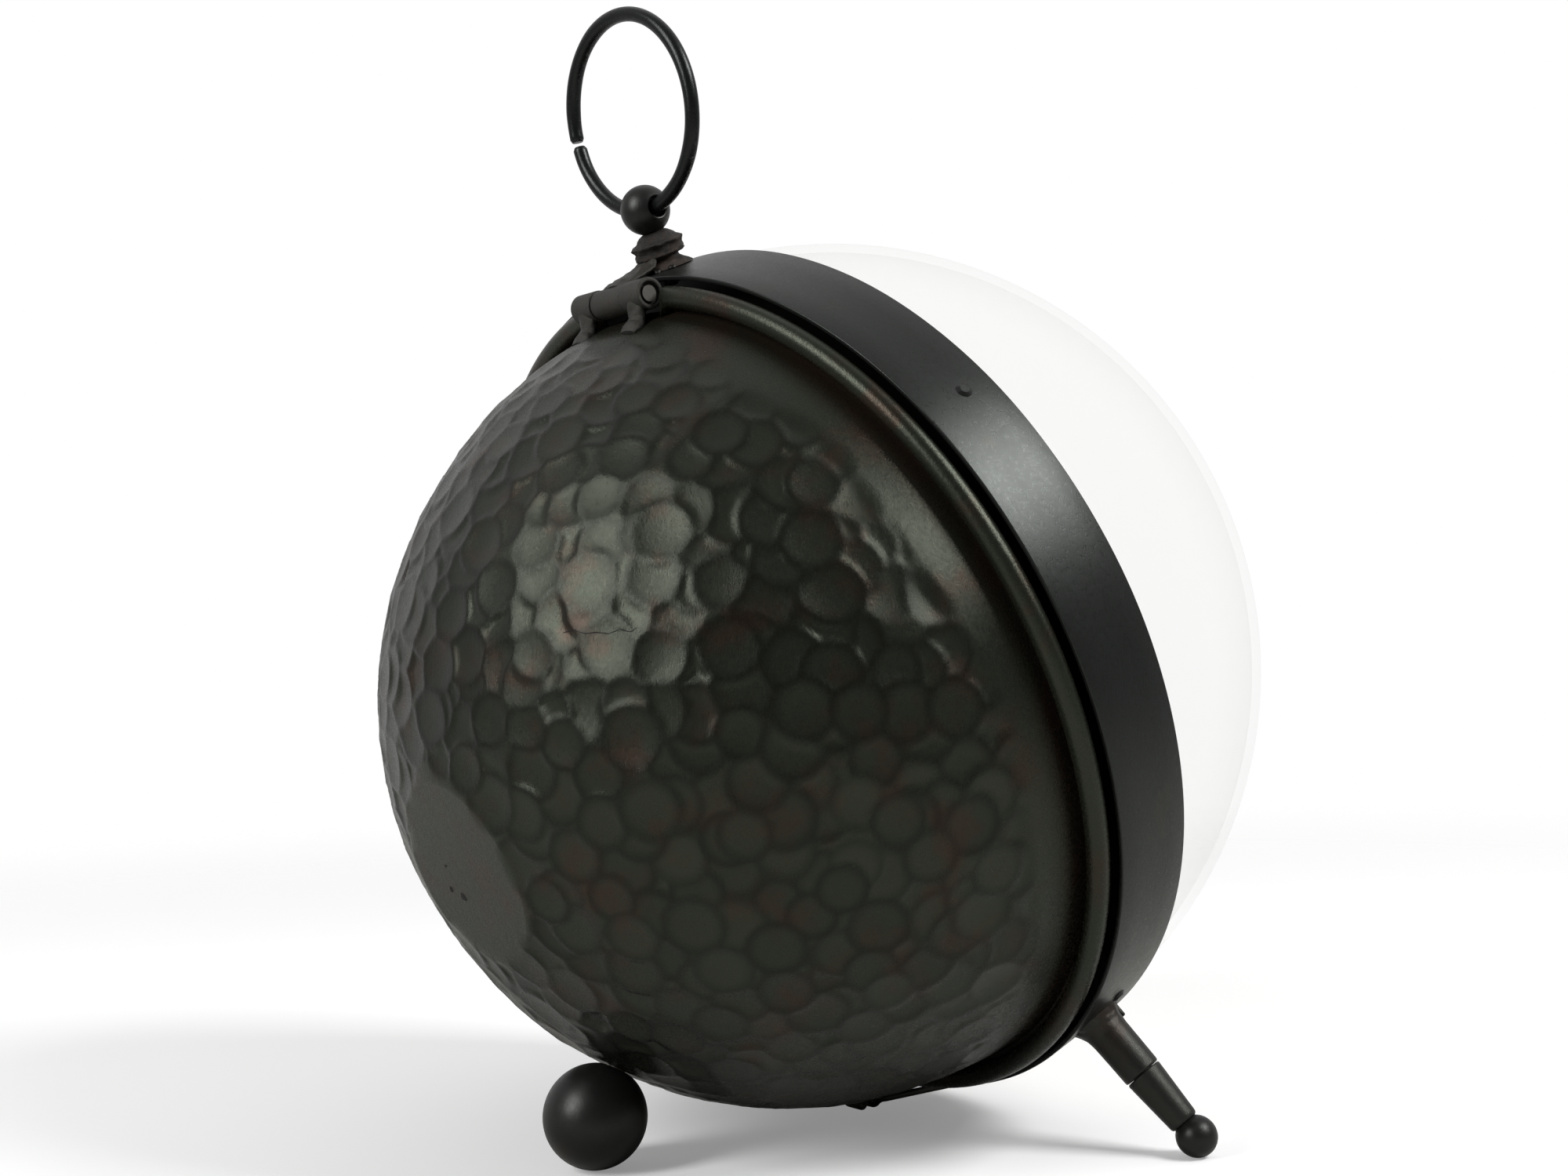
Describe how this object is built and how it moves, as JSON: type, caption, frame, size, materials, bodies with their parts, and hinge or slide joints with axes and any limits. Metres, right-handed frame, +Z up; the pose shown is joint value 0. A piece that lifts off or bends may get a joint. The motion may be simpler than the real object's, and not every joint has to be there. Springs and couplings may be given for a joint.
{
  "type": "pocket-watch table clock",
  "caption": "Large pocket-watch style table clock with a hammered hinged back, flat case band, clear dome, crown and bow ring, and ball-ended feet.",
  "frame": {"origin": "on the floor, under the middle of the bounding box", "axes": "+Z up, the dial faces -Y and leans back 22 degrees, +X to the right seen from the front"},
  "size_m": [0.304, 0.3102, 0.3801],
  "materials": {
    "band_iron": "blackened iron strip, oiled satin",
    "hammered_iron": "hammered blackened iron sheet, waxed satin",
    "ball_iron": "blackened iron balls, satin",
    "leg_iron": "blackened turned iron with brown welds",
    "weld_iron": "rusty brown, rough",
    "wire_iron": "blackened wire, satin",
    "hinge_iron": "blackened iron, satin",
    "pin_steel": "dull steel",
    "latch_iron": "blackened pressed iron",
    "plain_iron": "plain iron, satin",
    "clear_dome": "clear polished glass",
    "black_rubber": "matte",
    "dial_enamel": "cream enamel, satin",
    "hand_black": "black lacquer, satin",
    "works_plastic": "moulded black plastic",
    "works_brass": "turned brass",
    "battery_can": "grey sleeve, satin"
  },
  "bodies": {
    "case": {"band": "band_iron", "glass_dome": "clear_dome", "dome_gasket": "black_rubber", "dial_plate": "dial_enamel", "dial_clips": "plain_iron", "clip_rivets": "band_iron", "movement_case": "works_plastic", "movement_cover": "works_plastic", "battery": "battery_can", "shaft_bush": "works_brass", "bush_washer": "works_brass", "bush_nut": "works_brass", "crown_collar": "weld_iron", "crown_stud": "plain_iron", "crown_nut": "plain_iron", "crown_ball": "ball_iron", "leg_socket_left": "leg_iron", "leg_socket_right": "leg_iron", "leg_left": "leg_iron", "leg_right": "leg_iron", "leg_ball_left": "ball_iron", "leg_ball_right": "ball_iron", "hinge_barrel": "hinge_iron", "latch_keeper": "latch_iron"},
    "back": {"back_bowl": "hammered_iron", "hinge_lugs": "hinge_iron", "hinge_pin": "pin_steel", "foot_ball": "ball_iron", "foot_stud": "plain_iron", "foot_washer": "plain_iron", "foot_nut": "plain_iron", "latch_base": "latch_iron", "latch_pin": "plain_iron"},
    "lever": {"latch_lever": "latch_iron"},
    "loop": {"latch_loop": "latch_iron"},
    "bow": {"bow_ring": "wire_iron"},
    "hour": {"hour_tube": "works_brass", "hour_hand": "hand_black"},
    "minute": {"minute_arbor": "works_brass", "minute_hand": "hand_black", "hand_cap": "works_brass"},
    "setter": {"set_knob": "works_plastic", "knob_stem": "pin_steel"}
  },
  "joints": [
    {"name": "back_hinge", "type": "hinge", "parent": "case", "child": "back", "pos_m": [0, 0.08095, 0.28286], "axis": [1, 0, 0], "range_deg": [0, 100]},
    {"name": "latch_lever_hinge", "type": "hinge", "parent": "back", "child": "lever", "pos_m": [0, -0.02615, 0.0071], "axis": [-1, 0, 0], "range_deg": [0, 150]},
    {"name": "latch_loop_hinge", "type": "hinge", "parent": "lever", "child": "loop", "pos_m": [0, -0.01801, 0.00611], "axis": [-1, 0, 0], "range_deg": [-166, 0]},
    {"name": "bow_swing", "type": "hinge", "parent": "case", "child": "bow", "pos_m": [0, 0.06858, 0.31471], "axis": [1, 0, 0], "range_deg": [-45, 80]},
    {"name": "minute_turn", "type": "hinge", "parent": "case", "child": "minute", "pos_m": [0, -0.00407, 0.15812], "axis": [0, 0.9272, -0.3746], "continuous": true},
    {"name": "hour_turn", "type": "hinge", "parent": "case", "child": "hour", "pos_m": [0, -0.00407, 0.15812], "axis": [0, 0.9272, -0.3746], "continuous": true},
    {"name": "knob_turn", "type": "hinge", "parent": "case", "child": "setter", "pos_m": [0.014, 0.01684, 0.16262], "axis": [0, 0.9272, -0.3746], "continuous": true}
  ],
  "couplings": [
    {"joint": "hour_turn", "follows": "minute_turn", "ratio": 0.083333},
    {"joint": "knob_turn", "follows": "minute_turn", "ratio": -1},
    {"joint": "latch_loop_hinge", "follows": "latch_lever_hinge", "ratio": -1.1}
  ]
}
